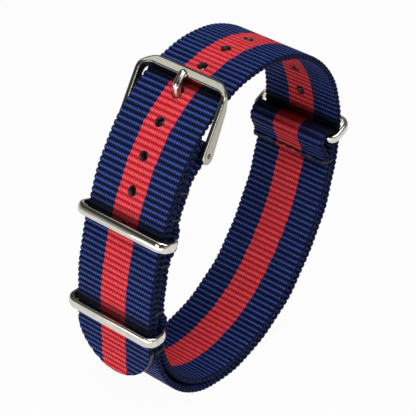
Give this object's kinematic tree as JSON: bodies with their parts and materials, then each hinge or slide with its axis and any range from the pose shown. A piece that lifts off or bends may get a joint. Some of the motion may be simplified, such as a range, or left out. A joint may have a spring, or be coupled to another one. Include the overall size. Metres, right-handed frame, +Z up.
{
  "type": "watch strap",
  "caption": "Ribbed nylon pass-through watch strap, buckled into a loop, with a bent steel buckle, band keepers, an end ring and a striped webbing.",
  "frame": {"origin": "bottom centre of the buckled loop's bounding box, where it stands on its outer ply", "axes": "+X across the webbing, -Y towards the buckle and keepers, +Z up through the loop"},
  "size_m": [0.024, 0.0668, 0.0743],
  "materials": {
    "webbing": "ribbed nylon",
    "polished_steel": "polished",
    "thread": "matte"
  },
  "bodies": {
    "webbing": {"main_strap": "webbing", "short_strap": "webbing", "fold_stitching": "thread", "upper_keeper_top_stitching": "thread", "upper_keeper_bottom_stitching": "thread", "lower_keeper_top_stitching": "thread", "lower_keeper_bottom_stitching": "thread", "ring_stitching": "thread"},
    "buckle": {"buckle_frame": "polished_steel", "spring_bar_tube": "polished_steel", "spring_bar_spring": "polished_steel"},
    "tongue": {"buckle_tongue": "polished_steel"},
    "bar_tip_left": {"spring_bar_tip_left": "polished_steel"},
    "bar_tip_right": {"spring_bar_tip_right": "polished_steel"},
    "upper_keeper": {"upper_keeper": "polished_steel"},
    "lower_keeper": {"lower_keeper": "polished_steel"},
    "end_ring": {"end_ring": "polished_steel"}
  },
  "joints": [
    {"name": "buckle_hinge", "type": "hinge", "parent": "webbing", "child": "buckle", "pos_m": [0, -0.01476, 0.06203], "axis": [1, 0, 0], "range_deg": [-0.3, 2.5]},
    {"name": "tongue_hinge", "type": "hinge", "parent": "buckle", "child": "tongue", "pos_m": [0, -0.01476, 0.06203], "axis": [1, 0, 0], "range_deg": [0, 2]},
    {"name": "left_tip_slide", "type": "slide", "parent": "buckle", "child": "bar_tip_left", "axis": [1, 0, 0], "range_m": [0, 0.0015], "stiffness_N_per_m": 300, "springref_m": -0.002, "deforming": ["spring_bar_spring"]},
    {"name": "right_tip_slide", "type": "slide", "parent": "buckle", "child": "bar_tip_right", "axis": [-1, 0, 0], "range_m": [0, 0.0015], "stiffness_N_per_m": 300, "springref_m": -0.002, "deforming": ["spring_bar_spring"]},
    {"name": "upper_keeper_tilt", "type": "hinge", "parent": "webbing", "child": "upper_keeper", "pos_m": [0, -0.02412, 0.04581], "axis": [1, 0, 0], "range_deg": [-6, 6]},
    {"name": "lower_keeper_tilt", "type": "hinge", "parent": "webbing", "child": "lower_keeper", "pos_m": [0, -0.02787, 0.02589], "axis": [1, 0, 0], "range_deg": [-6, 6]},
    {"name": "end_ring_swing", "type": "hinge", "parent": "webbing", "child": "end_ring", "pos_m": [0, 0.02667, 0.04424], "axis": [1, 0, 0], "range_deg": [-50, 6]}
  ]
}
